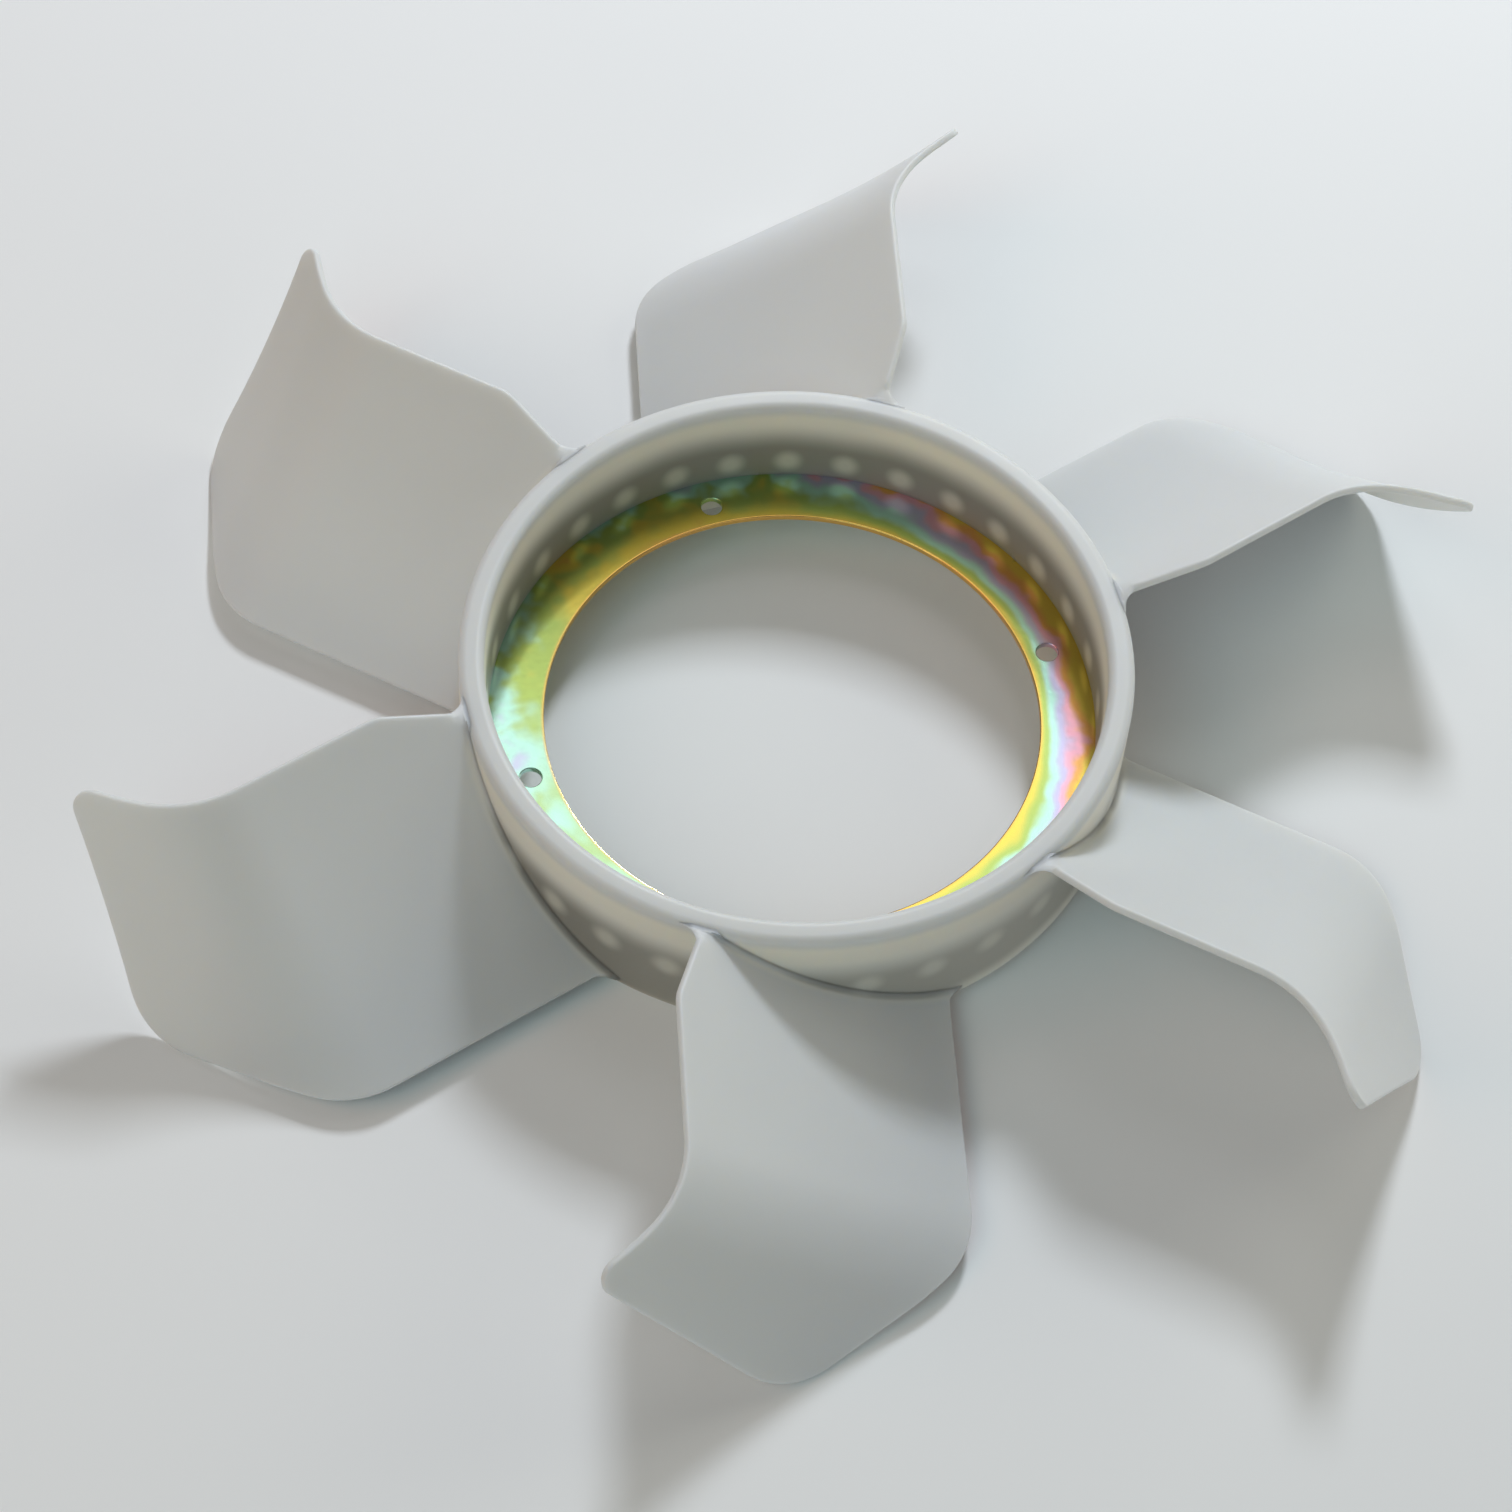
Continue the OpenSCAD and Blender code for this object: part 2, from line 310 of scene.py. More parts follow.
def value_of(tree, kind, settings=None, inputs=None, output=0):
    """Adds a node and returns one of its outputs as a Value."""
    return Value(tree, add_node(tree, kind, settings, inputs).outputs[output])


def parts_of(tree, vector):
    """The three parts of a vector."""
    node = add_node(tree, "ShaderNodeSeparateXYZ", inputs={0: vector})
    return [Value(tree, output) for output in node.outputs]


def vector_of(tree, x, y, z):
    """A vector of three parts."""
    return value_of(tree, "ShaderNodeCombineXYZ", inputs={0: x, 1: y, 2: z})


def ease(tree, value, low, high):
    """0 below low and 1 above high, smooth between; high below low turns it round."""
    if low > high:
        return 1 - ease(tree, value, high, low)
    settings = {"interpolation_type": "SMOOTHSTEP"}
    inputs = {"Value": value, "From Min": low, "From Max": high}
    return value_of(tree, "ShaderNodeMapRange", settings, inputs)


# The places of a Mix node's two colours and of its mixed colour among its sockets
MIX_COLOURS = (6, 7)
MIX_RESULT = 2


def blend_colours(tree, factor, first, second):
    """Two colours mixed by a factor."""
    settings = {"data_type": "RGBA", "blend_type": "MIX", "clamp_result": True}
    node = add_node(tree, "ShaderNodeMix", settings, {0: factor})
    for place, given in zip(MIX_COLOURS, (first, second)):
        if not isinstance(given, Value):
            given = (*given, 1)
        feed(tree, node.inputs[place], given)
    return Value(tree, node.outputs[MIX_RESULT])


# Lines and sections


def rounded(before, corner, after, radius, steps):
    """The points of the arc that rounds a corner between two straight lines."""
    u = (before - corner).normalized()
    w = (after - corner).normalized()
    half = u.angle(w) / 2
    centre = corner + (u + w).normalized() * radius / math.sin(half)
    start = corner + u * radius / math.tan(half) - centre
    side = 1 if u.x * w.y - u.y * w.x > 0 else -1
    sweep = -side * (math.pi - 2 * half)
    points = []
    for k in range(steps + 1):
        a = sweep * k / steps
        turned = Vector((
            start.x * math.cos(a) - start.y * math.sin(a),
            start.x * math.sin(a) + start.y * math.cos(a),
        ))
        points.append(centre + turned)
    return points


def spread(line, shares):
    """Points along a line at the given shares of its length."""
    reach = [0.0]
    for a, b in zip(line, line[1:]):
        reach.append(reach[-1] + (b - a).length)
    points = []
    i = 0
    for part in shares:
        d = part * reach[-1]
        while i < len(line) - 2 and reach[i + 1] < d:
            i += 1
        f = (d - reach[i]) / (reach[i + 1] - reach[i])
        points.append(line[i].lerp(line[i + 1], f))
    return points


def closed_section(corners, support, longest=1.0):
    """A closed section from (r, z, rounding, steps) corners, with support points.

    Straight runs are split so that none is longer than longest.
    """
    points = []
    for n, (r, z, rounding, steps) in enumerate(corners):
        here = Vector((r, z))
        before = Vector(corners[n - 1][:2])
        after = Vector(corners[(n + 1) % len(corners)][:2])
        if rounding <= 0:
            points.append(here)
            continue
        arc = rounded(before, here, after, rounding, steps)
        points.append(arc[0] + (before - here).normalized() * support)
        points += arc
        points.append(arc[-1] + (after - here).normalized() * support)
    section = []
    for n, point in enumerate(points):
        following = points[(n + 1) % len(points)]
        parts = math.ceil((following - point).length / longest)
        section += [point.lerp(following, k / parts) for k in range(parts)]
    return section


def revolve(name, section, segments):
    """A closed mesh that a section, run counter-clockwise in (r, z), makes round Z."""
    count = len(section)
    points = []
    faces = []
    for n in range(segments):
        a = 2 * math.pi * n / segments
        points += [(p.x * math.cos(a), p.x * math.sin(a), p.y) for p in section]
        this, following = n * count, (n + 1) % segments * count
        for k in range(count):
            m = (k + 1) % count
            faces.append((this + k, following + k, following + m, this + m))
    mesh = bpy.data.meshes.new(name)
    mesh.from_pydata(points, [], faces)
    return mesh


def spindle(name, section, segments):
    """A closed turned solid whose section starts and ends on the axis."""
    rings = section[1:-1]
    points = [(0, 0, section[0].y), (0, 0, section[-1].y)]
    faces = []

    def place(n, k):
        return 2 + n % segments * len(rings) + k

    for n in range(segments):
        a = 2 * math.pi * n / segments
        points += [(p.x * math.cos(a), p.x * math.sin(a), p.y) for p in rings]
        faces.append((0, place(n + 1, 0), place(n, 0)))
        faces.append((1, place(n, len(rings) - 1), place(n + 1, len(rings) - 1)))
        for k in range(len(rings) - 1):
            faces.append((place(n, k), place(n + 1, k), place(n + 1, k + 1), place(n, k + 1)))
    mesh = bpy.data.meshes.new(name)
    mesh.from_pydata(points, [], faces)
    return mesh


# The blade's blank

# Steps of an arc of the outline, rows and columns of points, and steps of an edge's corner
ARC_STEPS = 16
OUTER_ROWS = 72
FILLET_ROWS = 12
COLUMNS = 34
CORNER_STEPS = 3
# Powers by which the rows crowd together at the tip and the hub's curve fades out of them
TIP_CROWDING = 1.5
CURVE_FADE = 3
# How deep the root starts in the hub, and how far its fillet keeps inside rim and foot
ROOT_SINK = 1.5 * MM
END_GAP = 0.4 * MM
# How far the fillet's clamped top leans for each unit of depth in the sheet
TOP_LEAN = 0.1
# A height that no part of a blade reaches
NO_LIMIT = 1.0
# Width of the first and the last column
SUPPORT = 0.3 * MM


def fillet(radius, out):
    """The height of a fillet at distance out from the wall it leaves."""
    left = min(max(radius - out, 0), radius)
    return radius - math.sqrt(radius * radius - left * left)


class BladeRow(NamedTuple):
    """A line of mesh points across the blank, from its lower to its upper end.

    Its ends point along two ways, half is half its thickness, and it follows the hub's curve
    by a share. A row of the fillet lies on a ring round the axis.
    """

    low: Vector
    high: Vector
    low_way: Vector
    high_way: Vector
    half: float
    round_share: float
    ring: float | None = None


class BladeBlank:
    """The flat blank of a blade: x runs outwards, y across the chord, z is the height."""

    def __init__(self, blade, hub):
        self.blade = blade
        self.hub = hub
        self.edge = blade.thickness / 2
        self.end_radius = hub.radius + blade.root_round
        self.rows = self.fillet_rows() + self.outer_rows()

    def ring_s(self, r, t, h=0.0):
        """How far out the sheet, at t across it and height h, meets radius r."""
        blade = self.blade
        c = t / blade.camber
        rise = blade.camber * (1 - math.cos(c)) + h * math.cos(c)
        across = (blade.camber - h) * math.sin(c)
        y = rise * math.sin(blade.pitch) - across * math.cos(blade.pitch)
        return math.sqrt(r * r - y * y)

    def root_height(self):
        """The height of the upper edge where the fillet ends."""
        blade = self.blade
        c = blade.root / blade.camber
        up = blade.camber * (1 - math.cos(c))
        across = blade.camber * math.sin(c)
        return up * math.cos(blade.pitch) + across * math.sin(blade.pitch) + blade.middle

    def outline(self):
        """The lower and the upper line, which both end on the tip edge."""
        blade = self.blade

        def corner(out, across):
            return Vector((self.hub.radius + out, across))

        root_low = Vector((self.ring_s(self.end_radius, -blade.lower), -blade.lower))
        root_high = Vector((self.ring_s(self.end_radius, blade.root), blade.root))
        heel = corner(blade.heel_out, -blade.lower)
        tip = corner(blade.tip_out, blade.tip_up)
        point = corner(blade.point_out, blade.point_up)
        waist = corner(blade.waist_out, blade.upper)
        shoulder = corner(blade.shoulder_out, blade.upper)
        lower = [root_low]
        lower += rounded(root_low, heel, tip, blade.heel_round, ARC_STEPS)
        lower += rounded(heel, tip, point, blade.tip_round, ARC_STEPS)
        upper = [root_high]
        upper += rounded(root_high, shoulder, waist, blade.shoulder_round, ARC_STEPS)
        upper += rounded(shoulder, waist, point, blade.waist_round, ARC_STEPS)
        upper += rounded(waist, point, tip, blade.point_round, ARC_STEPS)
        return lower, upper

    def fillet_rows(self):
        """The rows that wrap the hub ring."""
        blade = self.blade
        steps = [math.pi / 2 * k / FILLET_ROWS for k in range(FILLET_ROWS)]
        rows = []
        for out in [-ROOT_SINK] + [blade.root_round * (1 - math.cos(a)) for a in steps]:
            r = self.hub.radius + out
            flare = fillet(blade.root_round, out)
            rows.append(BladeRow(
                Vector((r, -blade.lower - flare)), Vector((r, blade.root + flare)),
                Vector((0, -1)), Vector((0, 1)),
                self.edge + fillet(blade.face_round, out), 1, r,
            ))
        return rows

    def outer_rows(self):
        """The rows from the fillet's end to the tip edge, closer together at the tip."""
        lower, upper = self.outline()
        shares = [1 - (1 - i / OUTER_ROWS) ** TIP_CROWDING for i in range(OUTER_ROWS + 1)]
        lows = spread(lower, shares)
        highs = spread(upper, shares)
        tip_way = (highs[-1] - lows[-1]).normalized()
        tip_out = Vector((tip_way.y, -tip_way.x))
        rows = []
        for i, part in enumerate(shares):
            before, after = max(i - 1, 0), min(i + 1, OUTER_ROWS)
            along_low = (lows[after] - lows[before]).normalized()
            along_high = (highs[after] - highs[before]).normalized()
            low_way = Vector((along_low.y, -along_low.x))
            high_way = Vector((-along_high.y, along_high.x))
            if i == OUTER_ROWS:
                low_way = high_way = tip_out
            rows.append(BladeRow(
                lows[i], highs[i], low_way, high_way, self.edge, (1 - part) ** CURVE_FADE,
            ))
        return rows

    def point(self, row, f, way, reach, h):
        """A point of a row at share f of its width, moved out by reach along way."""
        inner_low = row.low - row.low_way * self.edge
        inner_high = row.high - row.high_way * self.edge
        flat = inner_low.lerp(inner_high, f) + way * reach
        if row.ring is not None:
            return (self.ring_s(row.ring, flat.y, h), flat.y, h)
        low_s = self.ring_s(self.end_radius, row.low.y)
        high_s = self.ring_s(self.end_radius, row.high.y)
        straight = low_s + (high_s - low_s) * f
        bulge = self.ring_s(self.end_radius, flat.y, h) - straight
        return (flat.x + row.round_share * bulge, flat.y, h)

    def ceiling(self, row, h):
        """How high the fillet may reach beside the rim."""
        rim_top = self.hub.rise - END_GAP
        if row.ring is None:
            return NO_LIMIT
        part = min(max((row.ring - self.hub.radius) / self.blade.root_round, 0), 1)
        lean = TOP_LEAN * (row.half - h)
        return rim_top + (max(rim_top, self.root_height()) - rim_top) * part - lean

    def floor(self, row):
        """How low the fillet may reach beside the foot."""
        return -NO_LIMIT if row.ring is None else END_GAP - self.hub.drop

    def columns(self):
        """Shares of a row's width, with a narrow first and last column."""
        rim = SUPPORT / (self.blade.lower + self.blade.upper)
        return [0] + [rim + (1 - 2 * rim) * j / COLUMNS for j in range(COLUMNS + 1)] + [1]

    def nose(self):
        """The section of the edge, as (reach, share of the corner's height, side)."""
        corner = self.blade.edge_round
        section = []
        for side in (1, -1):
            for k in range(CORNER_STEPS + 1):
                step = k if side > 0 else CORNER_STEPS - k
                a = math.pi / 2 * step / CORNER_STEPS
                section.append((self.edge - corner * (1 - math.sin(a)), math.cos(a), side))
        return section

    def mesh(self):
        """The closed mesh of the blank, with the heights between which it may lie."""
        rows, columns, nose = self.rows, self.columns(), self.nose()
        last, width = len(rows) - 1, len(columns)
        points, ceilings, floors, faces = [], [], [], []

        # The two faces of the sheet, and then its edge from the root round the tip
        def put(row, *place):
            points.append(self.point(row, *place))
            ceilings.append(self.ceiling(row, place[-1]))
            floors.append(self.floor(row))

        for side in (1, -1):
            for row in rows:
                for f in columns:
                    put(row, f, Vector((0, 0)), 0, side * row.half)
        stops = [(i, 0, rows[i].low_way) for i in range(last + 1)]
        stops += [(last, j, rows[last].low_way) for j in range(1, width - 1)]
        stops += [(i, width - 1, rows[i].high_way) for i in range(last, -1, -1)]
        for i, j, way in stops:
            for reach, height, side in nose:
                h = side * (rows[i].half - self.blade.edge_round * (1 - height))
                put(rows[i], columns[j], way, reach, h)

        # The numbers of the points on a face, on the edge and on the root's end
        def on_face(side, i, j):
            return (side * (last + 1) + i) * width + j

        def on_edge(n, k):
            if k in (0, len(nose) + 1):
                return on_face(min(k, 1), *stops[n][:2])
            return on_face(2, 0, 0) + n * len(nose) + k - 1

        def on_root(side, j):
            return on_face(side, 0, j)

        def patch(at, a, b, upper=False):
            beside = [at(a, b + 1), at(a + 1, b + 1), at(a + 1, b)]
            faces.append([at(a, b)] + (beside[::-1] if upper else beside))

        for i in range(last):
            for j in range(width - 1):
                patch(partial(on_face, 0), i, j, upper=True)
                patch(partial(on_face, 1), i, j)
        for n in range(len(stops) - 1):
            for k in range(len(nose) + 1):
                patch(on_edge, n, k)
        for j in range(width - 1):
            patch(on_root, 0, j)
        faces.append([on_edge(0, k) for k in reversed(range(len(nose) + 2))])
        faces.append([on_edge(len(stops) - 1, k) for k in range(len(nose) + 2)])

        mesh = bpy.data.meshes.new("blade_blank")
        mesh.from_pydata(points, [], faces)
        for name, values in ((CEILING, ceilings), (FLOOR, floors)):
            layer = mesh.attributes.new(name, "FLOAT", "POINT")
            layer.data.foreach_set("value", values)
        return mesh


# Trees that repeat, bend and join

# The angles over which an edge is sharp, in degrees
NYLON_CREASE = 40
STEEL_CREASE = 60


def new_tree(name, sockets):
    """A Geometry Nodes tree with a mesh in and out, and its named inputs as Values."""
    tree = bpy.data.node_groups.new(name, "GeometryNodeTree")
    tree.interface.new_socket("Mesh", in_out="OUTPUT", socket_type="NodeSocketGeometry")
    kinds = {"Mesh": "Geometry", **sockets}
    for label, kind in kinds.items():
        tree.interface.new_socket(label, in_out="INPUT", socket_type="NodeSocket" + kind)
    start = tree.nodes.new("NodeGroupInput")
    return tree, {label: Value(tree, start.outputs[label]) for label in kinds}


def end_tree(tree, geometry, material):
    """Ends a tree in plain geometry of one material."""
    plain = value_of(tree, "GeometryNodeRealizeInstances", inputs={0: geometry})
    simple = value_of(tree, "GeometryNodeTriangulate", inputs={"Mesh": plain})
    inputs = {"Geometry": simple, "Material": material}
    finished = value_of(tree, "GeometryNodeSetMaterial", inputs=inputs)
    tree.links.new(finished.socket, tree.nodes.new("NodeGroupOutput").inputs[0])


def mesh_of(tree, source):
    """The mesh of another object."""
    inputs = {"Object": source}
    return value_of(tree, "GeometryNodeObjectInfo", inputs=inputs, output="Geometry")


def copies_round(tree, geometry, count, first_turn):
    """Copies of a geometry at equal steps round the axis, as one mesh."""
    points = value_of(tree, "GeometryNodePoints", inputs={"Count": count})
    number = value_of(tree, "GeometryNodeInputIndex")
    turns = {"Axis": (0, 0, 1), "Angle": first_turn + number * (2 * math.pi) / count}
    rotation = value_of(tree, "FunctionNodeAxisAngleToRotation", inputs=turns)
    inputs = {"Points": points, "Instance": geometry, "Rotation": rotation}
    copies = value_of(tree, "GeometryNodeInstanceOnPoints", inputs=inputs)
    return value_of(tree, "GeometryNodeRealizeInstances", inputs={0: copies})


def shaded(tree, geometry, crease, cutter=False):
    """Smooth faces with edges that are sharp over the crease angle, kept in an attribute.

    A cutter's faces end up turned round, so its normals are kept turned round too.
    """
    smooth = value_of(tree, "GeometryNodeSetShadeSmooth", {"domain": "FACE"},
                      {"Geometry": geometry, "Shade Smooth": True})
    bend = value_of(tree, "GeometryNodeInputMeshEdgeAngle")
    creased = value_of(tree, "GeometryNodeSetShadeSmooth", {"domain": "EDGE"},
                       {"Geometry": smooth, "Selection": bend.over(math.radians(crease)),
                        "Shade Smooth": False})
    normal = value_of(tree, "GeometryNodeInputNormal")
    if cutter:
        turned = {0: normal, "Scale": -1.0}
        normal = value_of(tree, "ShaderNodeVectorMath", {"operation": "SCALE"}, turned)
    return value_of(tree, "GeometryNodeStoreNamedAttribute",
                    {"data_type": "FLOAT_VECTOR", "domain": "CORNER"},
                    {"Geometry": creased, "Name": NORMALS, "Value": normal})


def joined(tree, operation, first, second):
    """The union or the difference of two closed meshes."""
    settings = {"operation": operation, "solver": "MANIFOLD"}
    node = add_node(tree, "GeometryNodeMeshBoolean", settings)
    # A union takes both meshes through its second socket
    first_socket = "Mesh 1" if operation == "DIFFERENCE" else "Mesh 2"
    feed(tree, node.inputs[first_socket], first)
    feed(tree, node.inputs["Mesh 2"], second)
    return Value(tree, node.outputs["Mesh"])


def bent_sheet(tree, blank, given):
    """The blank, hollowed across its chord, bent down towards its tip and pitched."""
    s, t, h = parts_of(tree, value_of(tree, "GeometryNodeInputPosition"))
    past = s - given["Bend start"]
    length = given["Bend radius"] * given["Bend angle"]
    bend = (past / length).most(0.0).least(1.0) * given["Bend angle"]
    straight = (past - length).most(0.0)
    along = (
        s.least(given["Bend start"]) + given["Bend radius"] * bend.sin()
        + straight * bend.cos()
    )
    fall = given["Bend radius"] * (1 - bend.cos()) + straight * bend.sin()
    hollow = t / given["Camber"]
    rise = given["Camber"] * (1 - hollow.cos()) + h * hollow.cos()
    across = (given["Camber"] - h) * hollow.sin()
    up = rise * bend.cos() - fall
    pitch = given["Pitch"]
    x = along + rise * bend.sin()
    y = up * pitch.sin() - across * pitch.cos()
    z = up * pitch.cos() + across * pitch.sin() + given["Middle"]
    ceiling = value_of(tree, "GeometryNodeInputNamedAttribute", inputs={"Name": CEILING})
    floor = value_of(tree, "GeometryNodeInputNamedAttribute", inputs={"Name": FLOOR})
    place = vector_of(tree, x, y, z.least(ceiling).most(floor))
    return value_of(tree, "GeometryNodeSetPosition",
                    inputs={"Geometry": blank, "Position": place})


def blades_tree():
    """Bends the blank, sets the blades round the hub, joins them and cuts the steel's place."""
    tree, given = new_tree("Blades on a hub", {
        "Blank": "Object", "Steel": "Object", "Blades": "Int", "Turn": "Float",
        "Pitch": "Float", "Middle": "Float", "Camber": "Float", "Bend start": "Float",
        "Bend radius": "Float", "Bend angle": "Float", "Material": "Material",
    })
    blade = bent_sheet(tree, mesh_of(tree, given["Blank"]), given)
    blades = copies_round(tree, blade, given["Blades"], given["Turn"])
    hub = shaded(tree, given["Mesh"], NYLON_CREASE)
    whole = joined(tree, "UNION", hub, shaded(tree, blades, NYLON_CREASE))
    cut = joined(tree, "DIFFERENCE", whole, mesh_of(tree, given["Steel"]))
    end_tree(tree, cut, given["Material"])
    return tree


def holes_tree():
    """Cuts the bolt holes and the perforations out of the pressed ring."""
    tree, given = new_tree("Holes in a ring", {
        "Drill": "Object", "Bolt holes": "Int", "Punch": "Object", "Perforations": "Int",
        "Material": "Material",
    })
    drills = copies_round(tree, mesh_of(tree, given["Drill"]), given["Bolt holes"], 0.0)
    half_step = math.pi / given["Perforations"]
    punches = copies_round(
        tree, mesh_of(tree, given["Punch"]), given["Perforations"], half_step,
    )
    drills = shaded(tree, drills, STEEL_CREASE, cutter=True)
    punches = shaded(tree, punches, STEEL_CREASE, cutter=True)
    body = shaded(tree, given["Mesh"], STEEL_CREASE)
    drilled = joined(tree, "DIFFERENCE", body, drills)
    pierced = joined(tree, "DIFFERENCE", drilled, punches)
    end_tree(tree, pierced, given["Material"])
    return tree


def place_mesh(name, mesh):
    """A new object at the origin."""
    obj = bpy.data.objects.new(name, mesh)
    bpy.context.scene.collection.objects.link(obj)
    return obj


def run_tree(obj, tree, values):
    """Runs a tree on an object and leaves its result as the object's plain mesh."""
    modifier = obj.modifiers.new(tree.name, "NODES")
    modifier.node_group = tree
    for item in tree.interface.items_tree:
        if item.in_out == "INPUT" and item.name in values:
            modifier[item.identifier] = values[item.name]
    bpy.context.view_layer.update()
    graph = bpy.context.evaluated_depsgraph_get()
    mesh = bpy.data.meshes.new_from_object(
        obj.evaluated_get(graph), preserve_all_data_layers=True, depsgraph=graph,
    )
    obj.modifiers.remove(modifier)
    obj.data = mesh
    mesh.name = obj.name
    if len(mesh.polygons) == 0:
        raise RuntimeError(f"{obj.name} came out empty")


def keep_normals(mesh):
    """Gives the mesh the shading that its parts had before they were joined."""
    stored = mesh.attributes[NORMALS].data
    ways = [tuple(item.vector) for item in stored]
    mesh.normals_split_custom_set(ways)
    for name in (NORMALS, CEILING, FLOOR):
        if name in mesh.attributes:
            mesh.attributes.remove(mesh.attributes[name])


def remove_helpers(*helpers):
    """Takes the cutters and blanks out of the scene."""
    for obj in helpers:
        bpy.data.objects.remove(obj)


# Materials


def new_material(name):
    """A material with its tree and its main shader."""
    material = bpy.data.materials.new(name)
    material.use_nodes = True
    tree = material.node_tree
    tree.nodes.clear()
    shader = tree.nodes.new("ShaderNodeBsdfPrincipled")
    end = tree.nodes.new("ShaderNodeOutputMaterial")
    tree.links.new(shader.outputs[0], end.inputs["Surface"])
    return material, tree, shader


def noise(tree, position, scale, detail=2.0, roughness=0.5):
    """Clouds round 0 on the object."""
    inputs = {"Vector": position, "Scale": scale, "Detail": detail, "Roughness": roughness}
    return value_of(tree, "ShaderNodeTexNoise", inputs=inputs) - 0.5


def place_on_object(tree):
    """The position on the object, its height, its radius and its turn round the axis."""
    position = value_of(tree, "ShaderNodeTexCoord", output="Object")
    x, y, z = parts_of(tree, position)
    return position, z, (x * x + y * y).sqrt(), y.angle_to(x)


def bump(tree, height, strength, reach):
    """A normal from a height."""
    inputs = {"Strength": strength, "Distance": reach, "Height": height}
    return value_of(tree, "ShaderNodeBump", inputs=inputs)


def toward(turn, side):
    """1 at one side of the fan, falling to 0 a quarter turn away from it."""
    return (turn - side).cos().most(0.0)


# Where the painted shade reaches lowest towards the foot, and where the outer face is painted
# lighter, round the axis in radians
PAINTED_SHADE_SIDE = -2.3
PAINTED_LIGHT_SIDE = -1.0


def skirt_and_painted_shade(tree, place, hub, steel):
    """How far the hub's wall is darkened, from 0 to 1: by the steel skirt inside it, and by
    painted shade that runs on below the flange down towards the foot, less where the outer face
    is painted lighter.
    """
    position, z, radius, turn = place
    in_wall = ease(tree, radius, hub.radius + 2.2 * MM, hub.radius + 0.4 * MM)
    outside = ease(tree, radius, hub.radius - 4 * MM, hub.radius - 2 * MM)
    soft_edge = z + noise(tree, position, scale=30.0) * (3 * MM)
    lowered = outside * (4 * MM)
    clear_above, full_below = steel.skirt_rise + 8 * MM, steel.skirt_rise - 5 * MM
    top = ease(tree, soft_edge + lowered, clear_above, full_below)
    # Painted shade: the darkening reaches lower on one side of the fan
    painted_shade_drop = toward(turn, PAINTED_SHADE_SIDE) ** 2.0 * (7 * MM)
    # Painted shade: below the flange there is no steel, yet the darkening runs on down towards
    # the foot
    clear_below, full_above = -12 * MM, -5 * MM
    foot = ease(tree, soft_edge + painted_shade_drop, clear_below, full_above)
    # Painted light: the outer face's darkening is made paler towards one side of the fan
    painted_light = outside * toward(turn, PAINTED_LIGHT_SIDE) * 0.4
    return in_wall * (top * foot) * (1 - painted_light)


def perforations(tree, place, hub, steel):
    """1 in the middle of the skirt's perforations, fading to 0 round them."""
    _, z, _, turn = place
    step = 2 * math.pi / steel.windows
    aside = ((turn / step).fract() - 0.5) * (step * (hub.radius - steel.cover))
    height = z - steel.window_height
    off_centre = (aside * aside + height * height).sqrt()
    faint, full = steel.window_radius * 1.6, steel.window_radius * 0.3
    return ease(tree, off_centre, faint, full)


def nylon_material(look, hub, steel):
    """Natural nylon with the perforated skirt showing through the hub's wall, its thick walls a
    warmer, lighter colour, partly their own tone and partly painted glow of light through them,
    and painted shade below the flange.
    """
    material, tree, shader = new_material("natural_nylon")
    place = place_on_object(tree)
    position, z, radius, _ = place
    clouds = noise(tree, position, scale=9.0, detail=3.0)
    grain = noise(tree, position, scale=1500.0, detail=3.0, roughness=0.6)
    shrink = noise(tree, position, scale=55.0)

    # The thick walls get a warmer, lighter colour, partly the nylon's own tone and partly
    # painted glow of light through them, fading out at the rim's top
    thick = ease(tree, radius, hub.radius + 4 * MM, hub.radius)
    thick *= ease(tree, z, hub.rise - 1 * MM, hub.rise - 6 * MM)
    warm_tone_and_glow = (thick + clouds * 0.15).most(0.0).least(1.0)
    plain = blend_colours(tree, warm_tone_and_glow, look.body, look.warm_and_glow)
    window = perforations(tree, place, hub, steel)
    steel_and_painted_shade = blend_colours(tree, window, look.steel_and_painted_shade, look.window)
    shade = blend_colours(tree, skirt_and_painted_shade(tree, place, hub, steel), plain, steel_and_painted_shade)

    relief = grain * 0.08 + shrink
    feed(tree, shader.inputs["Base Color"], shade)
    feed(tree, shader.inputs["Roughness"], look.roughness + shrink * 0.16 + grain * 0.1)
    feed(tree, shader.inputs["Normal"], bump(tree, relief, strength=0.25, reach=0.3 * MM))
    shader.inputs["IOR"].default_value = 1.53
    shader.inputs["Subsurface Weight"].default_value = 0.65
    shader.inputs["Subsurface Radius"].default_value = (1.0, 0.88, 0.7)
    shader.inputs["Subsurface Scale"].default_value = 9 * MM
    return material


# Where the film thickens, and its left and right patches, round the axis in radians
THICK_SIDE = -0.6
LEFT_SIDE = 3.58
RIGHT_SIDE = 0.45
# How far the film's colours spread over the flange, from its opening outwards
FILM_WIDTH = 19 * MM


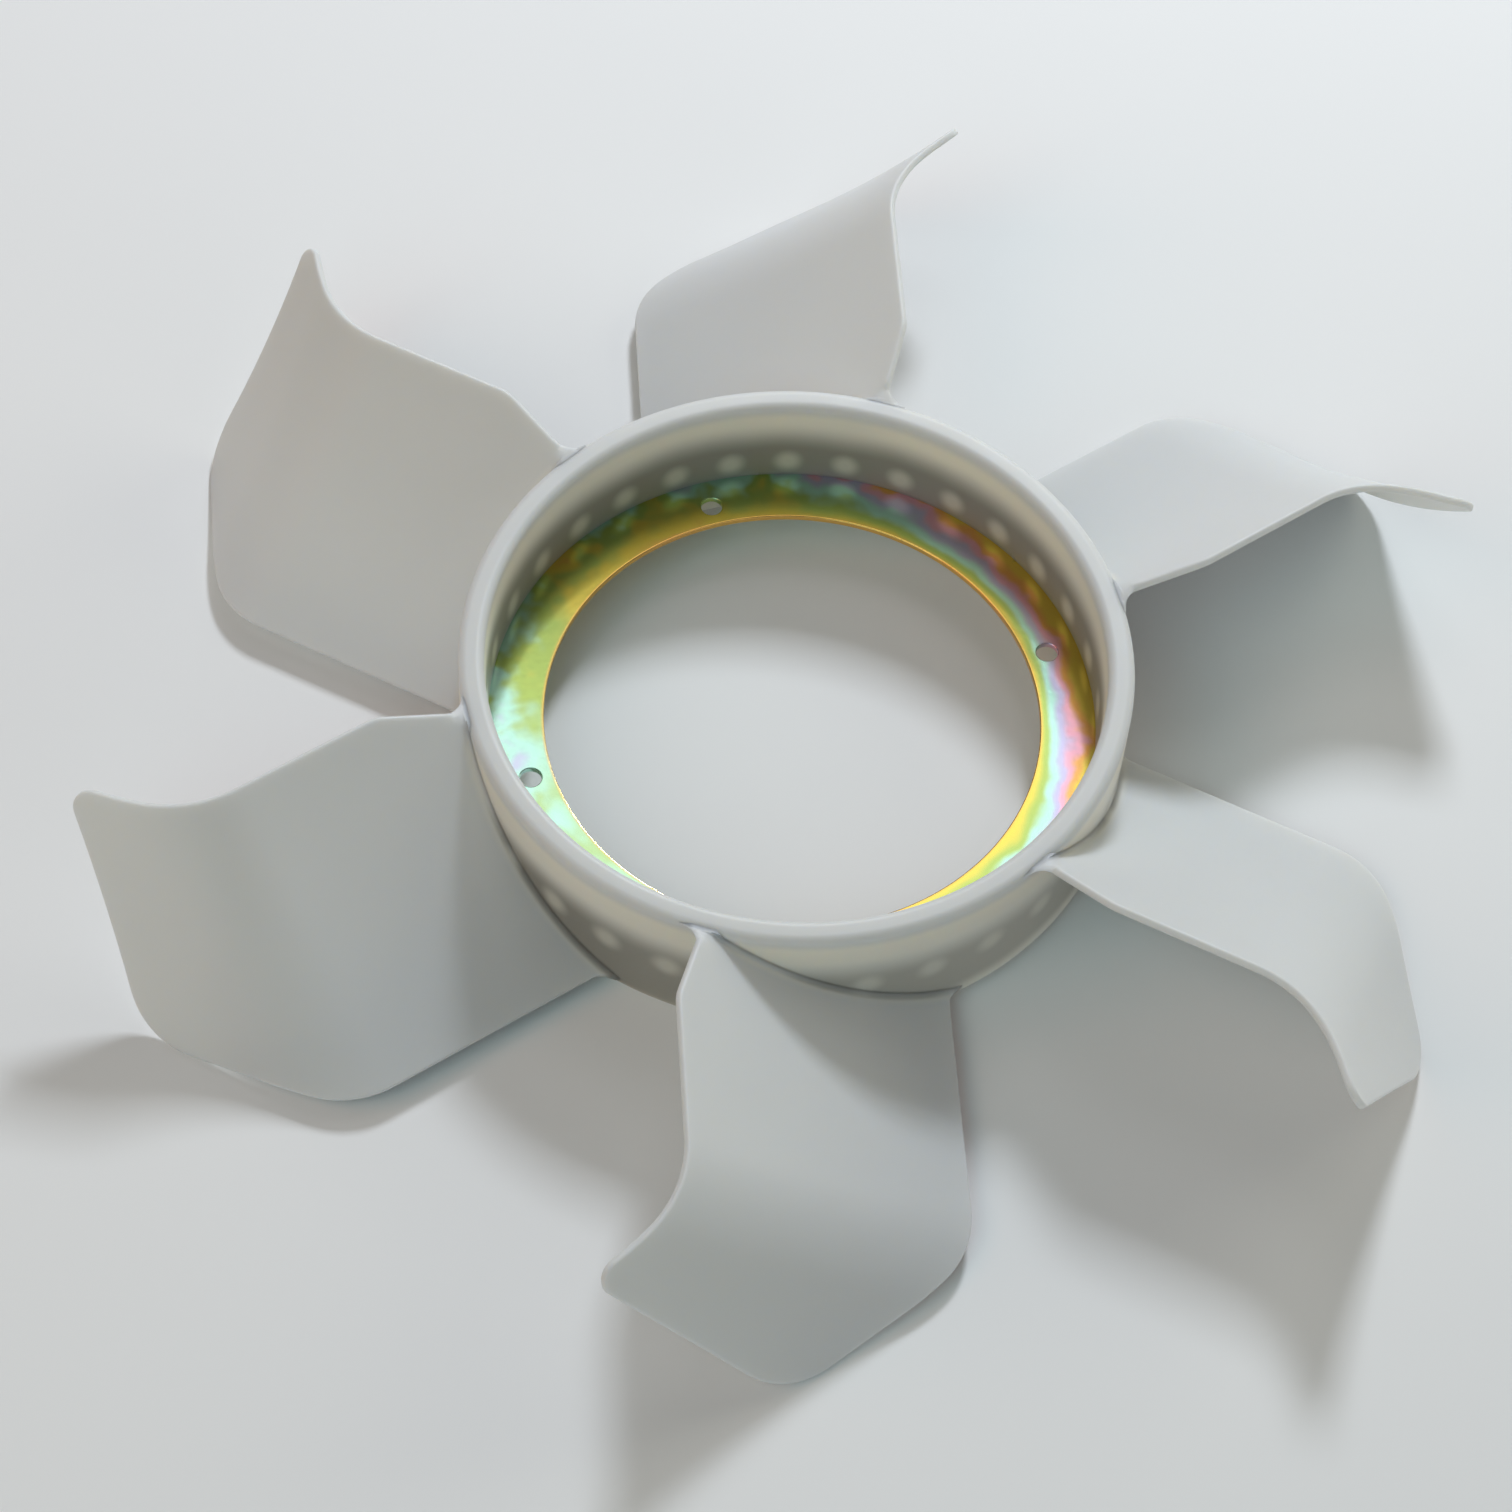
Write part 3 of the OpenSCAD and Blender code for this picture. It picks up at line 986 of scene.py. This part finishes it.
def film_colour(tree, place, look, steel, clouds):
    """The colour of the film on the flange, which changes with its thickness."""
    position, _, radius, turn = place
    outward = (radius - steel.opening_radius) / FILM_WIDTH
    patches = noise(tree, position, scale=75.0)
    drift = 0.5 + (turn - THICK_SIDE).cos() * 0.5
    left = toward(turn, LEFT_SIDE)
    right = toward(turn, RIGHT_SIDE)
    thickening = outward * (0.2 + drift * drift * 0.7 + right ** 4.0 * 0.55)
    # The film's thickness, as a place on the ramp of its colours
    film = 0.08 + left * left * 0.25 + thickening + clouds * 0.6 + patches * 1.2 * outward
    stops = [
        (0.0, look.orange), (0.1, look.yellow), (0.25, look.olive), (0.38, look.mint),
        (0.54, look.lilac), (0.68, look.pink), (0.82, look.orange), (1.0, look.yellow),
    ]
    ramp = add_node(tree, "ShaderNodeValToRGB", {"stops": stops}, {0: film})
    ramp.color_ramp.interpolation = "EASE"
    return Value(tree, ramp.outputs[0])


def steel_material(look, steel):
    """Zinc with a yellow film whose colour drifts with its thickness."""
    material, tree, shader = new_material("yellow_zinc")
    place = place_on_object(tree)
    position, _, radius, _ = place
    clouds = noise(tree, position, scale=16.0, detail=3.0, roughness=0.55)
    rolled = noise(tree, position, scale=400.0, detail=3.0, roughness=0.6)

    film = film_colour(tree, place, look, steel, clouds)
    lip = ease(tree, radius, steel.opening_radius + 1.2 * MM, steel.opening_radius)
    shade = blend_colours(tree, lip * 0.7, film, look.orange)

    feed(tree, shader.inputs["Base Color"], shade)
    feed(tree, shader.inputs["Roughness"], look.roughness + rolled * 0.08 + clouds * 0.06)
    feed(tree, shader.inputs["Normal"], bump(tree, rolled, strength=0.2, reach=0.05 * MM))
    shader.inputs["Metallic"].default_value = 1.0
    return material


def floor_material(look):
    """A plain matt studio floor."""
    material, _, shader = new_material("studio_floor")
    shader.inputs["Base Color"].default_value = (*look.floor, 1)
    shader.inputs["Roughness"].default_value = 0.9
    return material


# Pieces and the stage

# Segments round the axis of what is turned
HUB_SEGMENTS = 288
STEEL_SEGMENTS = 256
DRILL_SEGMENTS = 48
PUNCH_SEGMENTS = 32
# Steps of the roundings in a section
RIM_STEPS = 10
FOOT_STEPS = 6
OUTER_BEND_STEPS = 10
INNER_BEND_STEPS = 8
EDGE_STEPS = 4


def drill_section(radius, easing, low, high, steps):
    """Half the section of a drill that rounds the two edges of its hole."""
    past = 1 * MM
    lower = []
    for k in range(steps + 1):
        a = math.pi / 2 * k / steps
        lower.append((radius + easing * (1 - math.sin(a)), easing * (1 - math.cos(a))))
    points = [(0, low - past), (radius + easing, low - past)]
    points += [(r, low + up) for r, up in lower]
    points += [(r, high - up) for r, up in reversed(lower)]
    points += [(radius + easing, high + past), (0, high + past)]
    return [Vector(p) for p in points]


def place_drill(steel):
    """The tool that cuts a bolt hole and rounds its edges."""
    section = drill_section(
        steel.bolt_radius, steel.sheared, -steel.sheet, 0, EDGE_STEPS,
    )
    mesh = spindle("drill", section, DRILL_SEGMENTS)
    mesh.transform(Matrix.Translation((steel.bolt_circle, 0, 0)))
    return place_mesh("drill", mesh)


def place_punch(steel, skirt_radius):
    """The tool that cuts a perforation through the skirt, from outside it inwards."""
    section = drill_section(steel.window_radius, 0, -steel.sheet, 0, 1)
    mesh = spindle("punch", section, PUNCH_SEGMENTS)
    mesh.transform(
        Matrix.Translation((skirt_radius, 0, steel.window_height))
        @ Matrix.Rotation(math.pi / 2, 4, "Y")
    )
    return place_mesh("punch", mesh)


class FAN_OT_steel_ring(bpy.types.Operator):
    """Press the steel ring with its bolt holes and perforations"""

    bl_idname = "fan.steel_ring"
    bl_label = "Steel ring"

    def execute(self, context):
        scene = context.scene
        hub, steel = scene.fan_hub, scene.fan_steel
        outer = hub.radius - steel.cover
        edge, bend = steel.sheared, steel.bend
        section = closed_section([
            (steel.opening_radius, -steel.sheet, edge, EDGE_STEPS),
            (outer, -steel.sheet, bend + steel.sheet, OUTER_BEND_STEPS),
            (outer, steel.skirt_rise, edge, EDGE_STEPS),
            (outer - steel.sheet, steel.skirt_rise, edge, EDGE_STEPS),
            (outer - steel.sheet, 0, bend, INNER_BEND_STEPS),
            (steel.opening_radius, 0, edge, EDGE_STEPS),
        ], support=0.2 * MM)
        ring = place_mesh(STEEL, revolve("steel_body", section, STEEL_SEGMENTS))
        drill, punch = place_drill(steel), place_punch(steel, outer)
        run_tree(ring, holes_tree(), {
            "Drill": drill, "Bolt holes": steel.bolts,
            "Punch": punch, "Perforations": steel.windows,
            "Material": steel_material(scene.fan_steel_look, steel),
        })
        keep_normals(ring.data)
        remove_helpers(drill, punch)
        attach(ring, BODY)
        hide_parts("steel_ring")
        return {"FINISHED"}


class FAN_OT_moulding(bpy.types.Operator):
    """Mould the nylon hub and its blades around the steel ring"""

    bl_idname = "fan.moulding"
    bl_label = "Hub and blades"

    def execute(self, context):
        scene = context.scene
        hub, steel, blade = scene.fan_hub, scene.fan_steel, scene.fan_blade
        bore = hub.radius - hub.wall
        bore_top = bore + hub.rise * math.tan(hub.draft)
        section = closed_section([
            (bore, -hub.drop, hub.foot_round, FOOT_STEPS),
            (hub.radius, -hub.drop, hub.foot_round, FOOT_STEPS),
            (hub.radius, hub.rise, hub.rim_round, RIM_STEPS),
            (bore_top, hub.rise, hub.rim_round, RIM_STEPS),
            (bore, 0, 0, 0),
        ], support=0.3 * MM, longest=3.5 * MM)
        moulding = place_mesh(MOULDING, revolve("hub_body", section, HUB_SEGMENTS))
        blank = place_mesh("blade_blank", BladeBlank(blade, hub).mesh())
        run_tree(moulding, blades_tree(), {
            "Blank": blank, "Steel": bpy.data.objects[STEEL], "Blades": blade.count,
            "Turn": blade.turn, "Pitch": blade.pitch, "Middle": blade.middle,
            "Camber": blade.camber, "Bend start": hub.radius + blade.bend_out,
            "Bend radius": blade.bend_radius, "Bend angle": blade.bend_angle,
            "Material": nylon_material(scene.fan_nylon_look, hub, steel),
        })
        keep_normals(moulding.data)
        remove_helpers(blank)
        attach(moulding, BODY)
        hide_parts("fan_moulding")
        return {"FINISHED"}


# Half the floor's side and the lamps' distance from the fan's middle, in metres
FLOOR_REACH = 6.0
LAMP_DISTANCE = 1.8
# Each lamp's name, azimuth and elevation in degrees, side in metres, watts and colour
LAMPS = (
    ("key_lamp", 59, 40, 0.3, 19.5, (0.85, 0.92, 1.0)),
    ("overhead_lamp", 70, 63, 0.6, 1.4, (1.0, 1.0, 1.0)),
    ("back_lamp", 15, 20, 1.2, 6.5, (1.0, 0.98, 0.8)),
    ("front_lamp", -70, 15, 1.2, 3.2, (1.0, 1.0, 1.0)),
    ("left_lamp", 180, 38, 1.2, 5.5, (1.0, 0.5, 0.3)),
    ("fill_lamp", -145, 45, 1.2, 7, (0.6, 0.92, 0.95)),
)

# The camera where the photograph was taken: its lens and sensor in millimetres, its place,
# and the ways to its right, up and backwards
CAMERA_LENS = 91.463
CAMERA_SENSOR = 36
CAMERA_PLACE = Vector((-0.243567, -0.610580, 0.955504))
CAMERA_RIGHT = Vector((0.95208, -0.30359, 0.03715))
CAMERA_UP = Vector((0.23276, 0.79796, 0.55595))
CAMERA_BACK = Vector((-0.19843, -0.52066, 0.83039))


def set_floor(look):
    """A square floor under the fan's lowest point."""
    low = CAD_BOX[0][2]
    signs = ((-1, -1), (1, -1), (1, 1), (-1, 1))
    corners = [(x * FLOOR_REACH, y * FLOOR_REACH, low) for x, y in signs]
    mesh = bpy.data.meshes.new("floor")
    mesh.from_pydata(corners, [], [(0, 1, 2, 3)])
    mesh.materials.append(floor_material(look))
    place_mesh("floor", mesh)


def set_sky(scene, strength):
    """The even white light of the studio."""
    world = bpy.data.worlds.new("studio_sky")
    world.use_nodes = True
    background = world.node_tree.nodes["Background"]
    background.inputs["Color"].default_value = (1, 1, 1, 1)
    background.inputs["Strength"].default_value = strength
    scene.world = world


def add_lamp(name, azimuth, elevation, size, power, tint):
    """A soft square lamp that faces the fan."""
    a, e = math.radians(azimuth), math.radians(elevation)
    way = Vector((math.cos(e) * math.cos(a), math.cos(e) * math.sin(a), math.sin(e)))
    data = bpy.data.lights.new(name, "AREA")
    data.size = size
    data.energy = power
    data.color = tint
    lamp = bpy.data.objects.new(name, data)
    lamp.location = way * LAMP_DISTANCE
    lamp.rotation_euler = (-lamp.location).to_track_quat("-Z", "Y").to_euler()
    bpy.context.scene.collection.objects.link(lamp)


def set_camera():
    """The camera at the photograph's viewing angle."""
    data = bpy.data.cameras.new("camera")
    data.lens = CAMERA_LENS
    data.sensor_width = CAMERA_SENSOR
    camera = bpy.data.objects.new("camera", data)
    turned = Matrix((CAMERA_RIGHT, CAMERA_UP, CAMERA_BACK)).transposed().to_4x4()
    camera.matrix_world = Matrix.Translation(CAMERA_PLACE) @ turned
    bpy.context.scene.collection.objects.link(camera)
    bpy.context.scene.camera = camera


class FAN_OT_stage(bpy.types.Operator):
    """Set the floor, the lamps and the camera"""

    bl_idname = "fan.stage"
    bl_label = "Studio"

    def execute(self, context):
        scene = context.scene
        look = scene.fan_stage
        set_floor(look)
        set_sky(scene, look.sky)
        for name, azimuth, elevation, size, power, tint in LAMPS:
            add_lamp(name, azimuth, elevation, size, look.key * power, tint)
        scene.view_settings.view_transform = "Standard"
        set_camera()
        return {"FINISHED"}


OPERATORS = (FAN_OT_steel_ring, FAN_OT_moulding, FAN_OT_stage)


class FAN_PT_panel(bpy.types.Panel):
    """The fan's pieces, sizes and colours"""

    bl_label = "Axial cooling fan"
    bl_idname = "FAN_PT_panel"
    bl_space_type = "VIEW_3D"
    bl_region_type = "UI"
    bl_category = "Fan"

    def draw(self, context):
        for operator in OPERATORS:
            self.layout.operator(operator.bl_idname)
        for name, group in GROUPS.items():
            box = self.layout.box()
            box.label(text=group.__doc__)
            for item in group.__annotations__:
                box.prop(getattr(context.scene, name), item)


GROUPS = {
    "fan_hub": HubSizes,
    "fan_steel": SteelSizes,
    "fan_blade": BladeSizes,
    "fan_nylon_look": NylonLook,
    "fan_steel_look": SteelLook,
    "fan_stage": StageLook,
}


def register():
    for name, group in GROUPS.items():
        bpy.utils.register_class(group)
        setattr(bpy.types.Scene, name, PointerProperty(type=group))
    for item in (*OPERATORS, FAN_PT_panel):
        bpy.utils.register_class(item)


def unregister():
    for item in (FAN_PT_panel, *reversed(OPERATORS)):
        bpy.utils.unregister_class(item)
    for name, group in GROUPS.items():
        delattr(bpy.types.Scene, name)
        bpy.utils.unregister_class(group)


def main():
    """Builds the fan and its stage."""
    register()
    bpy.ops.fan.steel_ring()
    bpy.ops.fan.moulding()
    bpy.ops.fan.stage()


if __name__ == "__main__":
    main()
